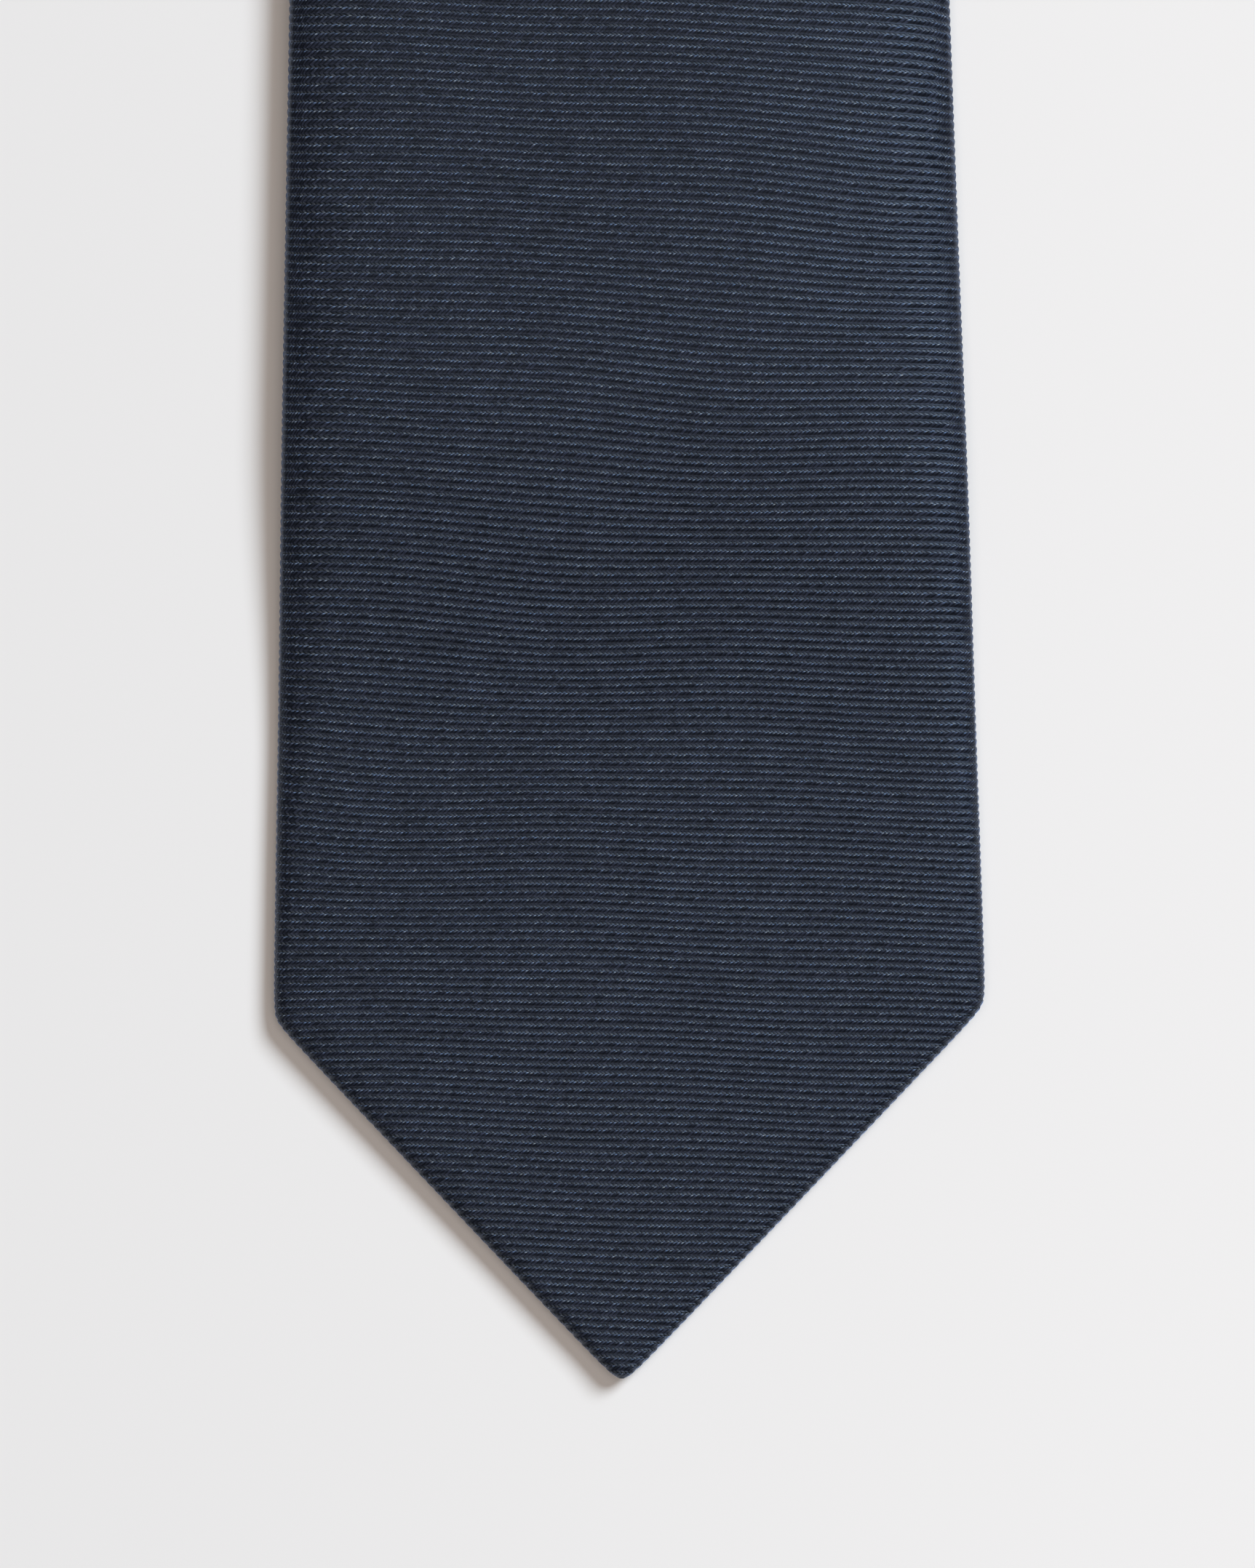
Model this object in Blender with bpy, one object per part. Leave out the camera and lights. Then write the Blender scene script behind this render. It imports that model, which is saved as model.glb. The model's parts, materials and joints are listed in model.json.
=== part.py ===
"""A men's necktie, laid flat and folded once at the neck.

The wide front blade lies face up along +Y with its tip at the front. At the neck the
tie turns up and over in a soft round fold, and the narrow tail comes back with its
lined side up, fanned out to the left until it lies on the surface beside the blade.

Every piece is drawn in cloth coordinates: u across the tie, s along it from the tip of
the blade, and n through it, positive towards the face. lay() folds those into place.
"""
from math import cos, pi, radians, sin, sqrt, tan

import bmesh
import bpy
from mathutils import Vector

MM = 0.001

# Lengths along the tie, from the tip of the blade
TIE_LENGTH = 1480 * MM
FRONT_SEAM = 690 * MM
REAR_SEAM = 960 * MM
FOLD_START = 740 * MM
STRAIGHT_UNTIL = 165 * MM
SLIM_FROM = 700 * MM
SLIM_UNTIL = 1000 * MM

# Widths, each half of the tie's full width
BLADE_HALF = 40.2 * MM
NECK_HALF = 16.0 * MM
TAIL_HALF = 22.5 * MM
BLADE_TAPER = 0.0274
TAIL_TAPER = 0.015
TIP_SPREAD = 0.951
TIP_ROUND = 1.1 * MM
TIP_LEAN = 1.25 * MM
CORNER_ROUND = 1.0 * MM

# The layers through the tie
TIE_THICK = 3.4 * MM
CLOTH = 0.5 * MM
INTERLINING_THICK = 1.25 * MM
INTERLINING_N = 0.275 * MM
TIPPING_THICK = 0.25 * MM
TIPPING_N = -0.775 * MM
GAP = 0.3 * MM

# The opening along the back
SLIT_HALF = 0.45 * MM
FRONT_HEM = 13.0 * MM
FRONT_OPEN = 115 * MM
TAIL_HEM = 9.5 * MM
TAIL_OPEN = 72 * MM

# The fold at the neck
FOLD_SKEW = radians(-5.5)
FOLD_RADIUS = 3.8 * MM
FOLD_LENGTH = pi * FOLD_RADIUS
BRIDGE_DROP = 3.7 * MM
BRIDGE_END = 190 * MM
LANDING_START = 215 * MM
LANDING_END = 355 * MM

# The blade rides up over what is sewn to its back
LIFT = 2.3 * MM
LIFT_RISES = (70 * MM, 112 * MM)
LIFT_FALLS = (300 * MM, 345 * MM)

# What is sewn to the back
KEEPER_S = 240 * MM
KEEPER_WIDTH = 10 * MM
KEEPER_HALF_SPAN = 27 * MM
KEEPER_THICK = 0.6 * MM
LABEL_S = 272 * MM
LABEL_LENGTH = 26 * MM
LABEL_HALF_SPAN = 25 * MM
LABEL_THICK = 0.35 * MM
CARE_LABEL_S = 1238 * MM
CARE_LABEL_LENGTH = 32 * MM
CARE_LABEL_HALF = 10 * MM
TACK_HALF_SPAN = 4.5 * MM
TACK_WIDTH = 1.8 * MM
TACK_THICK = 0.4 * MM
CARE_STITCH_SETBACK = 0.9 * MM
THREAD = 0.24 * MM


def smoothstep(low, high, value):
    """0 below low, 1 above high, and an even S between them."""
    t = min(1.0, max(0.0, (value - low) / (high - low)))
    return t * t * (3 - 2 * t)


def ease(start, end, slope_start, slope_end, length, t):
    """A cubic from start to end with the given slope at each side, t from 0 to 1."""
    return (
        start * (2 * t**3 - 3 * t**2 + 1)
        + slope_start * length * (t**3 - 2 * t**2 + t)
        + end * (3 * t**2 - 2 * t**3)
        + slope_end * length * (t**3 - t**2)
    )


def pointed(reach, body):
    """Half width at a reach from a pointed tip, where the sides would be body apart."""
    point = TIP_SPREAD * sqrt((reach + TIP_ROUND) ** 2 - TIP_ROUND**2)
    mean = (point + body) / 2
    return mean - sqrt(((point - body) / 2) ** 2 + CORNER_ROUND**2 / 4)


def half_width(s):
    """Half the tie's width at s."""
    blade_corner = BLADE_HALF / TIP_SPREAD
    tail_corner = TIE_LENGTH - TAIL_HALF / TIP_SPREAD
    if s < SLIM_FROM:
        length = SLIM_FROM - STRAIGHT_UNTIL
        t = (s - STRAIGHT_UNTIL) / length
        body = BLADE_HALF - BLADE_TAPER * (min(s, STRAIGHT_UNTIL) - blade_corner)
        if t > 0:
            body = ease(body, NECK_HALF, -BLADE_TAPER, 0, length, t)
        return pointed(s, body)
    if s < SLIM_UNTIL:
        return NECK_HALF
    length = tail_corner - SLIM_UNTIL
    t = min(1.0, (s - SLIM_UNTIL) / length)
    return pointed(TIE_LENGTH - s, ease(NECK_HALF, TAIL_HALF, 0, TAIL_TAPER, length, t))


def edge_inset(s, inset):
    """How much narrower a piece is at s when it stays inset behind the tie's edge."""
    slant = sqrt(1 + TIP_SPREAD**2)
    on_blade_tip = s < BLADE_HALF / TIP_SPREAD
    on_tail_tip = s > TIE_LENGTH - TAIL_HALF / TIP_SPREAD
    return inset * slant if on_blade_tip or on_tail_tip else inset


def opening(reach, hem, corner, closes):
    """Half the opening between the back flaps at a reach from a tip."""
    widest = TIP_SPREAD * (corner - hem)
    if reach < corner:
        return SLIT_HALF + max(0.0, TIP_SPREAD * (reach - hem))
    return SLIT_HALF + widest * max(0.0, (closes - reach) / (closes - corner))


def slit(s):
    """Half the gap between the two back flaps at s."""
    if s < FRONT_OPEN:
        return opening(s, FRONT_HEM, BLADE_HALF / TIP_SPREAD, FRONT_OPEN)
    return opening(TIE_LENGTH - s, TAIL_HEM, TAIL_HALF / TIP_SPREAD, TAIL_OPEN)


def blade_level(s):
    """Height of the middle of the blade's thickness."""
    lift = smoothstep(*LIFT_RISES, s) * (1 - smoothstep(*LIFT_FALLS, s))
    return TIE_THICK / 2 + LIFT * lift


def tail_level(back):
    """Height of the middle of the tail's thickness, at a distance back from the fold."""
    top = TIE_THICK / 2 + 2 * FOLD_RADIUS
    landing = 2 * FOLD_RADIUS - BRIDGE_DROP
    return (
        top
        - BRIDGE_DROP * smoothstep(0, BRIDGE_END, back)
        - landing * smoothstep(LANDING_START, LANDING_END, back)
    )


def lay(u, s, n):
    """The place of a point of the cloth once the tie is folded and laid down."""
    u -= TIP_LEAN * max(0.0, 1 - s * TIP_SPREAD / BLADE_HALF)
    along = u * cos(FOLD_SKEW) + (s - FOLD_START) * sin(FOLD_SKEW)
    past = (s - FOLD_START) * cos(FOLD_SKEW) - u * sin(FOLD_SKEW)
    if past <= 0:
        across = past
        z = blade_level(s) + n
    elif past < FOLD_LENGTH:
        turn = past / FOLD_RADIUS
        across = (FOLD_RADIUS - n) * sin(turn)
        z = TIE_THICK / 2 + FOLD_RADIUS - (FOLD_RADIUS - n) * cos(turn)
    else:
        across = FOLD_LENGTH - past
        z = tail_level(past - FOLD_LENGTH) - n
    x = along * cos(FOLD_SKEW) - across * sin(FOLD_SKEW)
    y = FOLD_START + along * sin(FOLD_SKEW) + across * cos(FOLD_SKEW)
    return Vector((x, y, z))


def material(name, colour, roughness):
    """A plain non-metallic surface."""
    made = bpy.data.materials.new(name)
    made.use_nodes = True
    shader = made.node_tree.nodes["Principled BSDF"]
    shader.inputs["Base Color"].default_value = (*colour, 1.0)
    shader.inputs["Roughness"].default_value = roughness
    shader.inputs["Metallic"].default_value = 0.0
    made.diffuse_color = (*colour, 1.0)
    return made


def sheet(name, columns, rows, place, thickness, finish):
    """A sheet of cloth: a grid put in place point by point, then given its thickness."""
    grid = bmesh.new()
    bmesh.ops.create_grid(grid, x_segments=columns - 1, y_segments=rows - 1, size=1.0)
    for vert in grid.verts:
        column = round((vert.co.x + 1) / 2 * (columns - 1))
        row = round((vert.co.y + 1) / 2 * (rows - 1))
        vert.co = place(column, row)
    mesh = bpy.data.meshes.new(name)
    grid.to_mesh(mesh)
    grid.free()
    mesh.materials.append(finish)
    piece = bpy.data.objects.new(name, mesh)
    bpy.context.scene.collection.objects.link(piece)
    solid = piece.modifiers.new("thickness", "SOLIDIFY")
    solid.thickness = thickness
    solid.offset = 0.0
    solid.use_rim = True
    return piece


def spread(low, high, count):
    """Count values from low to high, evenly spaced."""
    return [low + (high - low) * k / (count - 1) for k in range(count)]


def wrap(half, height, gap):
    """The section of the folded shell as (u, n): one back flap, the face, the other."""
    roll = min(height, 0.8 * (half - gap))
    edge = [
        (half - roll + roll * sin(turn), -height * cos(turn))
        for turn in spread(0, pi, 6)
    ]
    right = [(gap, -height)] + edge
    left = [(-u, n) for u, n in reversed(right)]
    return right + [(0.0, height)] + left


def shell(name, stations, finish):
    """A length of the outer cloth. Each station is its s at the centre and its slant."""
    sections = []
    for s, slant in stations:
        reach = min(s, TIE_LENGTH - s)
        blunt = min(1.0, (reach + 0.2 * MM) / (TIE_THICK / 2))
        height = (TIE_THICK / 2) * sqrt(1 - (1 - blunt) ** 2) - CLOTH / 2
        half = half_width(s) - edge_inset(s, CLOTH / 2)
        sections.append(wrap(half, height, min(slit(s), 0.6 * half)))

    def place(column, row):
        s, slant = stations[row]
        u, n = sections[row][column]
        return lay(u, s + slant * u, n)

    return sheet(name, len(sections[0]), len(stations), place, CLOTH, finish)


def slab(name, stations, inset, n, thickness, columns, finish):
    """A flat layer inside the shell, held back from the tie's edge by inset."""

    def place(column, row):
        s, slant = stations[row]
        half = half_width(s) - edge_inset(s, inset)
        u = spread(-half, half, columns)[column]
        return lay(u, s + slant * u, n)

    return sheet(name, columns, len(stations), place, thickness, finish)


def patch(name, span, s_low, s_high, n, thickness, finish):
    """A rectangle of cloth lying across the tie, sewn to its back."""
    columns = 7
    rows = 4

    def place(column, row):
        u = spread(-span, span, columns)[column]
        return lay(u, spread(s_low, s_high, rows)[row], n)

    return sheet(name, columns, rows, place, thickness, finish)


def thread(name, route, finish):
    """A sewing thread through the points of a route given in cloth coordinates."""
    curve = bpy.data.curves.new(name, "CURVE")
    curve.dimensions = "3D"
    curve.bevel_depth = THREAD / 2
    curve.bevel_resolution = 2
    curve.use_fill_caps = True
    spline = curve.splines.new("POLY")
    spline.points.add(len(route) - 1)
    for point, (u, s, n) in zip(spline.points, route):
        point.co = (*lay(u, s, n), 1.0)
    curve.materials.append(finish)
    piece = bpy.data.objects.new(name, curve)
    bpy.context.scene.collection.objects.link(piece)
    return piece


def bar_tack(name, s, finish):
    """A short bar of close satin stitches across the end of the back seam."""
    n = -(TIE_THICK / 2 + GAP + TACK_THICK / 2)
    low = s - TACK_WIDTH / 2
    return patch(name, TACK_HALF_SPAN, low, low + TACK_WIDTH, n, TACK_THICK, finish)


def blade_stations():
    """Where the front piece's sections are, close together at the tip and its corners."""
    corner = BLADE_HALF / TIP_SPREAD
    tip = [0.4 * MM, 1.8 * MM, 5 * MM, FRONT_HEM, 20 * MM, 30 * MM]
    shoulder = [corner - 2 * MM, corner, corner + 2 * MM]
    flaps = spread(60 * MM, FRONT_OPEN, 4)
    body = [130 * MM, 160 * MM, 200 * MM, 250 * MM, LIFT_FALLS[0], 322 * MM, LIFT_FALLS[1]]
    neck = spread(400 * MM, FRONT_SEAM - 50 * MM, 5)
    slanted = [(FRONT_SEAM - 24 * MM, 0.5), (FRONT_SEAM - GAP, 1.0)]
    return [(s, 0.0) for s in tip + shoulder + flaps + body + neck] + slanted


def tail_stations():
    """Where the tail piece's sections are, from its seam to the small tip."""
    corner = TIE_LENGTH - TAIL_HALF / TIP_SPREAD
    slanted = [(REAR_SEAM + GAP, 1.0), (REAR_SEAM + 24 * MM, 0.5)]
    landing = spread(REAR_SEAM + 50 * MM, 1110 * MM, 5)
    body = spread(1150 * MM, 1380 * MM, 5)
    flaps = spread(TIE_LENGTH - TAIL_OPEN, corner - 12 * MM, 3)
    shoulder = [corner - 2 * MM, corner, corner + 2 * MM]
    tip = [TIE_LENGTH - reach * MM for reach in (16, 9.5, 5, 1.8, 0.4)]
    return slanted + [(s, 0.0) for s in landing + body + flaps + shoulder + tip]


def past_fold(distance):
    """s on the centre line at a distance past the start of the fold."""
    return FOLD_START + distance / cos(FOLD_SKEW)


def fold_stations(low, high, count):
    """Sections parallel to the fold line, between two distances past its start."""
    return [(past_fold(d), tan(FOLD_SKEW)) for d in spread(low, high, count)]


def rear_stations():
    """The neck piece behind the fold, close together where it comes down in a slope."""
    first = fold_stations(FOLD_LENGTH + GAP, FOLD_LENGTH + 50 * MM, 4)
    middle = [(s, tan(FOLD_SKEW)) for s in spread(820 * MM, 920 * MM, 4)]
    return first + middle + [(REAR_SEAM - GAP, 1.0)]


def inside(stations, low, high):
    """The stations from low to high, without their slant at the seams."""
    return [(s, 0.0) for s, _ in stations if low <= s <= high]


def remove_everything():
    for old in list(bpy.data.objects):
        bpy.data.objects.remove(old, do_unlink=True)


def build():
    silk = material("silk_rib", (0.030, 0.036, 0.050), 0.55)
    wool = material("wool_interlining", (0.78, 0.75, 0.68), 0.95)
    lining = material("satin_lining", (0.020, 0.024, 0.036), 0.35)
    damask = material("woven_label", (0.045, 0.050, 0.062), 0.6)
    ribbon = material("care_ribbon", (0.80, 0.80, 0.78), 0.45)
    cotton = material("sewing_thread", (0.028, 0.034, 0.052), 0.6)

    blade = blade_stations()
    tail = tail_stations()
    fold_edge = (past_fold(-GAP), tan(FOLD_SKEW))
    fold_end = (past_fold(FOLD_LENGTH + GAP), tan(FOLD_SKEW))

    shell("front_shell", blade, silk)
    shell("neck_shell_front", [(FRONT_SEAM + GAP, 1.0), (715 * MM, 0.4), fold_edge], silk)
    shell("neck_shell_bend", fold_stations(0, FOLD_LENGTH, 9), silk)
    shell("neck_shell_rear", rear_stations(), silk)
    shell("tail_shell", tail, silk)

    def interlining(name, stations):
        slab(name, stations, 1.9 * MM, INTERLINING_N, INTERLINING_THICK, 3, wool)

    front_run = [(6 * MM, 0.0)] + inside(blade, 13 * MM, FRONT_SEAM - 50 * MM)
    tail_run = inside(tail, REAR_SEAM, TIE_LENGTH - 9 * MM) + [(TIE_LENGTH - 6 * MM, 0.0)]
    interlining("interlining_front", front_run + [(FRONT_SEAM, 0.0), fold_edge])
    interlining("interlining_bend", fold_stations(0, FOLD_LENGTH, 9))
    interlining("interlining_tail", rear_stations()[:-1] + tail_run)

    def tipping(name, stations):
        slab(name, stations, 3.2 * MM, TIPPING_N, TIPPING_THICK, 3, lining)

    tipping("front_tipping", [(7 * MM, 0.0)] + inside(blade, 13 * MM, 130 * MM))
    small = inside(tail, TIE_LENGTH - TAIL_OPEN - 10 * MM, TIE_LENGTH - 9 * MM)
    tipping("tail_tipping", [(TIE_LENGTH - 84 * MM, 0.0)] + small + [(TIE_LENGTH - 7 * MM, 0.0)])

    back = -(TIE_THICK / 2 + GAP)
    keeper_n = back - KEEPER_THICK / 2
    keeper_low = KEEPER_S - KEEPER_WIDTH / 2
    keeper_high = KEEPER_S + KEEPER_WIDTH / 2
    patch("keeper_loop", KEEPER_HALF_SPAN, keeper_low, keeper_high, keeper_n, KEEPER_THICK, silk)
    label_n = back - LABEL_THICK / 2
    label_low = LABEL_S - LABEL_LENGTH / 2
    label_high = LABEL_S + LABEL_LENGTH / 2
    patch("brand_label", LABEL_HALF_SPAN, label_low, label_high, label_n, LABEL_THICK, damask)
    care_high = CARE_LABEL_S + CARE_LABEL_LENGTH
    patch("care_label", CARE_LABEL_HALF, CARE_LABEL_S, care_high, label_n, LABEL_THICK, ribbon)
    bar_tack("front_bar_tack", FRONT_OPEN, cotton)
    bar_tack("tail_bar_tack", TIE_LENGTH - TAIL_OPEN, cotton)

    def across_stitch(name, u, low, high, n):
        thread(name, [(u, s, n) for s in spread(low, high, 5)], cotton)

    for side, name in ((-1, "left"), (1, "right")):
        inner = 1.5 * MM
        u = side * (KEEPER_HALF_SPAN - inner)
        n = back - KEEPER_THICK - GAP - THREAD / 2
        across_stitch(f"keeper_stitch_{name}", u, keeper_low + inner, keeper_high - inner, n)
        u = side * (LABEL_HALF_SPAN - inner)
        n = back - LABEL_THICK - GAP - THREAD / 2
        across_stitch(f"brand_label_stitch_{name}", u, label_low + inner, label_high - inner, n)
    sewn = CARE_LABEL_S - CARE_STITCH_SETBACK
    edge = spread(-CARE_LABEL_HALF, CARE_LABEL_HALF, 7)
    thread("care_label_stitch", [(u, sewn, label_n) for u in edge], cotton)

    middle_of_flap = -(TIE_THICK - CLOTH) / 2

    def seam_thread(name, low, high, count):
        thread(name, [(0.0, s, middle_of_flap) for s in spread(low, high, count)], cotton)

    seam_thread("slip_stitch_front", FRONT_OPEN + 2 * MM, past_fold(-GAP), 44)
    seam_thread("slip_stitch_bend", past_fold(0), past_fold(FOLD_LENGTH), 13)
    seam_thread("slip_stitch_tail", past_fold(FOLD_LENGTH + GAP), TIE_LENGTH - TAIL_OPEN - 2 * MM, 46)


def bounds():
    """The lowest and highest corner of every piece together."""
    graph = bpy.context.evaluated_depsgraph_get()
    corners = []
    for piece in bpy.data.objects:
        solid = piece.evaluated_get(graph)
        made = solid.to_mesh()
        corners += [solid.matrix_world @ vert.co for vert in made.vertices]
        solid.to_mesh_clear()
    low = Vector([min(point[axis] for point in corners) for axis in range(3)])
    high = Vector([max(point[axis] for point in corners) for axis in range(3)])
    return low, high


def stand_on_origin():
    """Move every piece so that the origin is under the middle of the whole tie."""
    low, high = bounds()
    shift = Vector(((low.x + high.x) / 2, (low.y + high.y) / 2, low.z))
    for piece in bpy.data.objects:
        piece.location = -shift


remove_everything()
build()
stand_on_origin()
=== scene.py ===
"""The look of the folded necktie: corded silk, lining, labels and thread, on a pale table.

The cloth is drawn in cloth coordinates, as the CAD parts are: u across the tie, s along it
from the tip of the blade, and n through it, positive towards the face. lay() folds them
into place. Everything is in metres.
"""
import json
from math import cos, pi, radians, sin, sqrt, tan

import bmesh
import bpy
import numpy as np
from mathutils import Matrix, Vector


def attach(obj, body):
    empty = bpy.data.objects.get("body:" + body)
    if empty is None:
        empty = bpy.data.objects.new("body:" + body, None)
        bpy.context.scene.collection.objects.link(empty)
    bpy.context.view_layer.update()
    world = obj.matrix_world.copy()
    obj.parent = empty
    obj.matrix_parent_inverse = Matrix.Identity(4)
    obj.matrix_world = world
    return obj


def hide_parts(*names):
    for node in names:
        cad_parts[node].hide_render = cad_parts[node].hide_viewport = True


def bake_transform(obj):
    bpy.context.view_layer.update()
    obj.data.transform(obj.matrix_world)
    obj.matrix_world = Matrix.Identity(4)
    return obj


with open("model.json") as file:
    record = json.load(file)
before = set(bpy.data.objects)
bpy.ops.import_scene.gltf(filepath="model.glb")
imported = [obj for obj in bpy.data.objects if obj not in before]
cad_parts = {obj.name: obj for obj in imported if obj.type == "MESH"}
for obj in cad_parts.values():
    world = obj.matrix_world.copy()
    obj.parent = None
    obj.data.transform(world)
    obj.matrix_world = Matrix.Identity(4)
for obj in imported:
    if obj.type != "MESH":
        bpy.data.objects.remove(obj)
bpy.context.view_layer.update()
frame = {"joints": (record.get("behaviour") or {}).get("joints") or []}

MM = 0.001

# ---------------------------------------------------------------- the tie's own sizes
TIE_LENGTH = 1480 * MM
FRONT_SEAM = 690 * MM
REAR_SEAM = 960 * MM
FOLD_START = 740 * MM
STRAIGHT_UNTIL = 165 * MM
SLIM_FROM = 700 * MM
SLIM_UNTIL = 1000 * MM

BLADE_HALF = 40.2 * MM
NECK_HALF = 16.0 * MM
TAIL_HALF = 22.5 * MM
BLADE_TAPER = 0.0274
TAIL_TAPER = 0.015
TIP_SPREAD = 0.951
TIP_ROUND = 1.1 * MM
TIP_LEAN = 1.25 * MM
TIP_UNEVEN = 0.010
CORNER_ROUND = 1.0 * MM
CORNER_EASE = 2.0 * MM
BLADE_CORNER = BLADE_HALF / TIP_SPREAD
TAIL_CORNER = TAIL_HALF / TIP_SPREAD

TIE_THICK = 3.4 * MM
HALF_THICK = TIE_THICK / 2
SLIT_HALF = 0.15 * MM
FRONT_HEM = 13.0 * MM
FRONT_OPEN = 115 * MM
TAIL_HEM = 9.5 * MM
TAIL_OPEN = 72 * MM

FOLD_SKEW = radians(-5.5)
FOLD_RADIUS = 3.8 * MM
FOLD_LENGTH = pi * FOLD_RADIUS
FOLD_END = FOLD_START + FOLD_LENGTH
BRIDGE_DROP = 3.7 * MM
BRIDGE_END = 190 * MM
LANDING_START = 215 * MM
LANDING_END = 355 * MM
LIFT = 2.3 * MM
LIFT_RISES = (70 * MM, 112 * MM)
LIFT_FALLS = (300 * MM, 345 * MM)
DROOP = 2.0 * MM
DROOP_RISES = (80 * MM, 132 * MM)
DROOP_INSIDE = 9 * MM

KEEPER_S = 240 * MM
KEEPER_WIDTH = 10 * MM
KEEPER_HALF_SPAN = 27 * MM
LABEL_S = 272 * MM
LABEL_LENGTH = 26 * MM
LABEL_HALF_SPAN = 25 * MM
CARE_LABEL_S = 1238 * MM
CARE_LABEL_LENGTH = 32 * MM
CARE_LABEL_HALF = 10 * MM

# ---------------------------------------------------------------- the cloth's own sizes
RIB_PITCH = 0.88 * MM
RIB_EASE = 0.08
RIB_EASE_FROM = 95 * MM
RIB_EASE_WIDTH = 30 * MM
RIB_SWAY = 1.0 * MM
RIB_SWAY_WIDTH = 12.3 * MM
RIB_SWAY_LEAN = 0.87
RIB_SWAY_AT = (20.9 * MM, 118.5 * MM)
STROKE_PITCH = 0.47 * MM
BLADE_RIB_SLOPE = tan(radians(2.65))
NECK_RIB_SLOPE = tan(radians(-0.8))
TAIL_RIB_SLOPE = tan(radians(1.2))
RIB_HEIGHT = 0.12 * MM
RIB_LEAN = 1.36
FINE_UNTIL = 168 * MM
FINE_LINES = 5
LINING_INSET = 3.0 * MM
LINING_LEVEL = -0.80 * MM
LINING_START = 7 * MM
BLADE_LINING_END = 128 * MM
TAIL_LINING_END = 82 * MM
WOOL_INSET = 1.9 * MM
WOOL_THICK = 1.1 * MM
WOOL_LEVEL = 0.275 * MM
TIP_PRESSED = 0.25 * MM
PRESSED_UNTIL = (15 * MM, 70 * MM)
TIP_LIES_UNTIL = 4 * MM
SOFT_EDGE_RISES = (40 * MM, 120 * MM)
SOFT_EDGE_FALLS = (1380 * MM, 1450 * MM)
SOFT_EDGE_NECK = 1.6 * MM
SOFT_EDGE_MORE = 4.4 * MM
TURN = 0.27 * MM
TURNED_IN = 3.0 * MM
SEAM_DIP = 0.35 * MM
SEAM_DIP_WIDTH = 0.7 * MM
LEAST_REACH = 0.02 * MM
LEAST_SLIT = 0.03 * MM
MITRE_OPENS = 2 * MM
STITCH_PITCH = 11 * MM
STITCH_PULL = 0.24 * MM
STITCH_INSET = 1.5 * MM
STITCH_LENGTH = 2.2 * MM
SEAM_STARTS = 2 * MM
THREAD_STEP = 0.7 * MM
SLIP_THREAD = 0.13 * MM
SEWING_THREAD = 0.12 * MM
TACK_THREAD = 0.17 * MM
TACK_LENGTH = 9 * MM
TACK_WIDTH = 1.6 * MM
RAW_END = 6 * MM
TIP_SHORT = 0.05 * MM
BIAS_MARGIN = 2 * MM
SKEW_MARGIN = 4 * MM
CORE_GAP = 0.2 * MM

# How far the small sheets' middles stand off the cloth behind them, and how thick they are.
KEEPER_OFF = 0.6 * MM
KEEPER_THICK = 0.6 * MM
LABEL_OFF = 0.475 * MM
LABEL_THICK = 0.3 * MM
RIBBON_OFF = 0.55 * MM
RIBBON_THICK = 0.25 * MM
RIBBON_CURL = 1.6 * MM
RIBBON_CUP = 0.4 * MM
RIBBON_CLEAR = 0.3 * MM
RIBBON_SEWN = 1.2 * MM

FACE_STEPS = (0.0, 0.14, 0.28, 0.42, 0.56, 0.71, 0.86, 1.0)
ROLL_TURNS = (66, 44, 22, 0, -24, -48, -70, -90)
PLACING_ROUNDS = 8
FLAP_STEPS = (0.33, 0.67, 1.0)
SECTION = (
    [("face", f) for f in FACE_STEPS]
    + [("roll", radians(a)) for a in ROLL_TURNS]
    + [("flap", f) for f in FLAP_STEPS]
    + [("turn", 0.0), ("turn", 1.0), ("inner", 1.0)]
)


# ---------------------------------------------------------------- the tie's shape
def smooth(low, high, value):
    """0 below low, 1 above high, and an even S between them."""
    t = np.clip((value - low) / (high - low), 0.0, 1.0)
    return t * t * (3 - 2 * t)


def ease(start, end, slope_start, slope_end, length, t):
    """A cubic from start to end with the given slope at each side, t from 0 to 1."""
    return (
        start * (2 * t**3 - 3 * t**2 + 1)
        + slope_start * length * (t**3 - 2 * t**2 + t)
        + end * (3 * t**2 - 2 * t**3)
        + slope_end * length * (t**3 - t**2)
    )


def wave(size, u, s, wide, long, turn=0.0):
    """A lazy wave, size high, that repeats every wide across and every long along."""
    return size * np.sin(2 * pi * (u / wide + s / long) + turn)


def pointed(reach, body, spread=TIP_SPREAD):
    """Half width at a reach from a pointed tip, where the sides would be body apart."""
    reach = np.maximum(reach, LEAST_REACH)
    point = spread * np.sqrt((reach + TIP_ROUND) ** 2 - TIP_ROUND**2)
    mean = (point + body) / 2
    return mean - np.sqrt(((point - body) / 2) ** 2 + CORNER_ROUND**2 / 4)


def half_width(s, side=0):
    """Half the tie's width at s, on one side (-1 or 1) or between the two (0).

    The hem of the blade was folded a little unevenly, so its corners aren't quite level.
    """
    s = np.asarray(s, float)
    straight = BLADE_HALF - BLADE_TAPER * (np.minimum(s, STRAIGHT_UNTIL) - BLADE_CORNER)
    blade_run = SLIM_FROM - STRAIGHT_UNTIL
    t = np.clip((s - STRAIGHT_UNTIL) / blade_run, 0, 1)
    blade = np.where(t > 0, ease(straight, NECK_HALF, -BLADE_TAPER, 0, blade_run, t), straight)
    tail_run = TIE_LENGTH - TAIL_CORNER - SLIM_UNTIL
    t = np.clip((s - SLIM_UNTIL) / tail_run, 0, 1)
    tail = ease(NECK_HALF, TAIL_HALF, 0, TAIL_TAPER, tail_run, t)
    on_blade = pointed(s, blade, TIP_SPREAD - side * TIP_UNEVEN)
    on_tail = pointed(TIE_LENGTH - s, tail)
    return np.where(s < SLIM_FROM, on_blade, np.where(s < SLIM_UNTIL, NECK_HALF, on_tail))


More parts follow.
